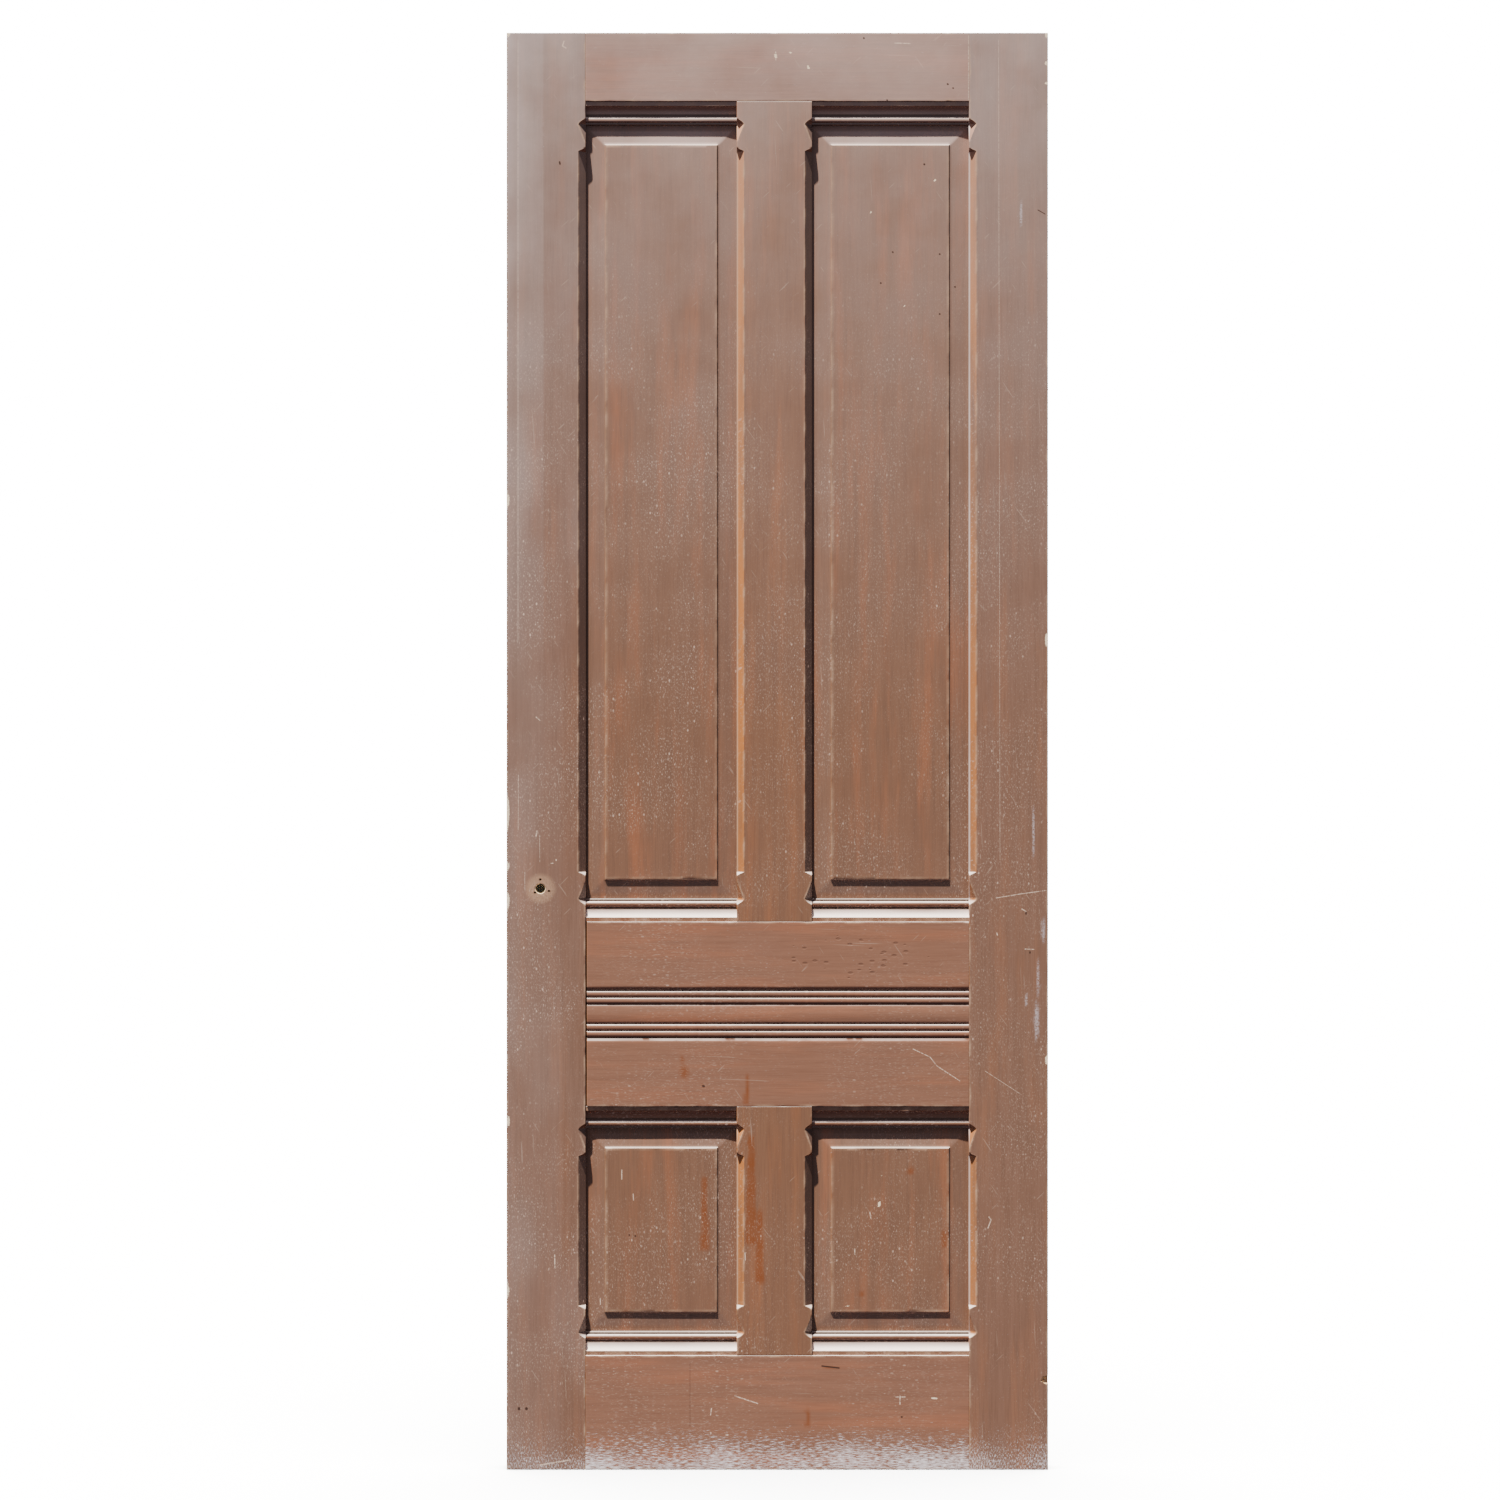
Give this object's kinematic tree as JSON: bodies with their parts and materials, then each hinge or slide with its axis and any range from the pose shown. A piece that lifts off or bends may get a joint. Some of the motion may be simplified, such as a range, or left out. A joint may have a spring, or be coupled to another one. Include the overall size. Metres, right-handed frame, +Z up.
{
  "type": "panelled door leaf",
  "caption": "Tall interior door leaf of solid wood with raised panels, planted mouldings, stop-chamfered members and a reeded lock rail, gained for butt hinges",
  "frame": {"origin": "the point of the middle hinge's seat that is at half the leaf's thickness and half the hinge's height", "axes": "+X out of the hinge edge, +Y out of the plain back, so that the moulded face looks along -Y, +Z up"},
  "size_m": [0.9144, 0.0446, 2.426],
  "materials": {
    "stiles": "satin brown varnish, hazed and scuffed",
    "rails": "satin red-brown varnish, scratched",
    "muntins": "satin brown varnish with rust drips",
    "panels": "satin brown varnish over vertical grain",
    "mouldings": "satin red-brown varnish"
  },
  "bodies": {
    "root": {"lock_stile": "stiles", "hinge_stile": "stiles", "top_rail": "rails", "lock_rail": "rails", "bottom_rail": "rails", "upper_muntin": "muntins", "lower_muntin": "muntins", "panel_upper_lock_side": "panels", "panel_upper_hinge_side": "panels", "panel_lower_lock_side": "panels", "panel_lower_hinge_side": "panels", "moulding_upper_lock_side_top": "mouldings", "moulding_upper_lock_side_bottom": "mouldings", "moulding_upper_hinge_side_top": "mouldings", "moulding_upper_hinge_side_bottom": "mouldings", "moulding_lower_lock_side_top": "mouldings", "moulding_lower_lock_side_bottom": "mouldings", "moulding_lower_hinge_side_top": "mouldings", "moulding_lower_hinge_side_bottom": "mouldings", "back_moulding_upper_lock_side_top": "mouldings", "back_moulding_upper_lock_side_bottom": "mouldings", "back_moulding_upper_hinge_side_top": "mouldings", "back_moulding_upper_hinge_side_bottom": "mouldings", "back_moulding_lower_lock_side_top": "mouldings", "back_moulding_lower_lock_side_bottom": "mouldings", "back_moulding_lower_hinge_side_top": "mouldings", "back_moulding_lower_hinge_side_bottom": "mouldings"}
  },
  "joints": []
}
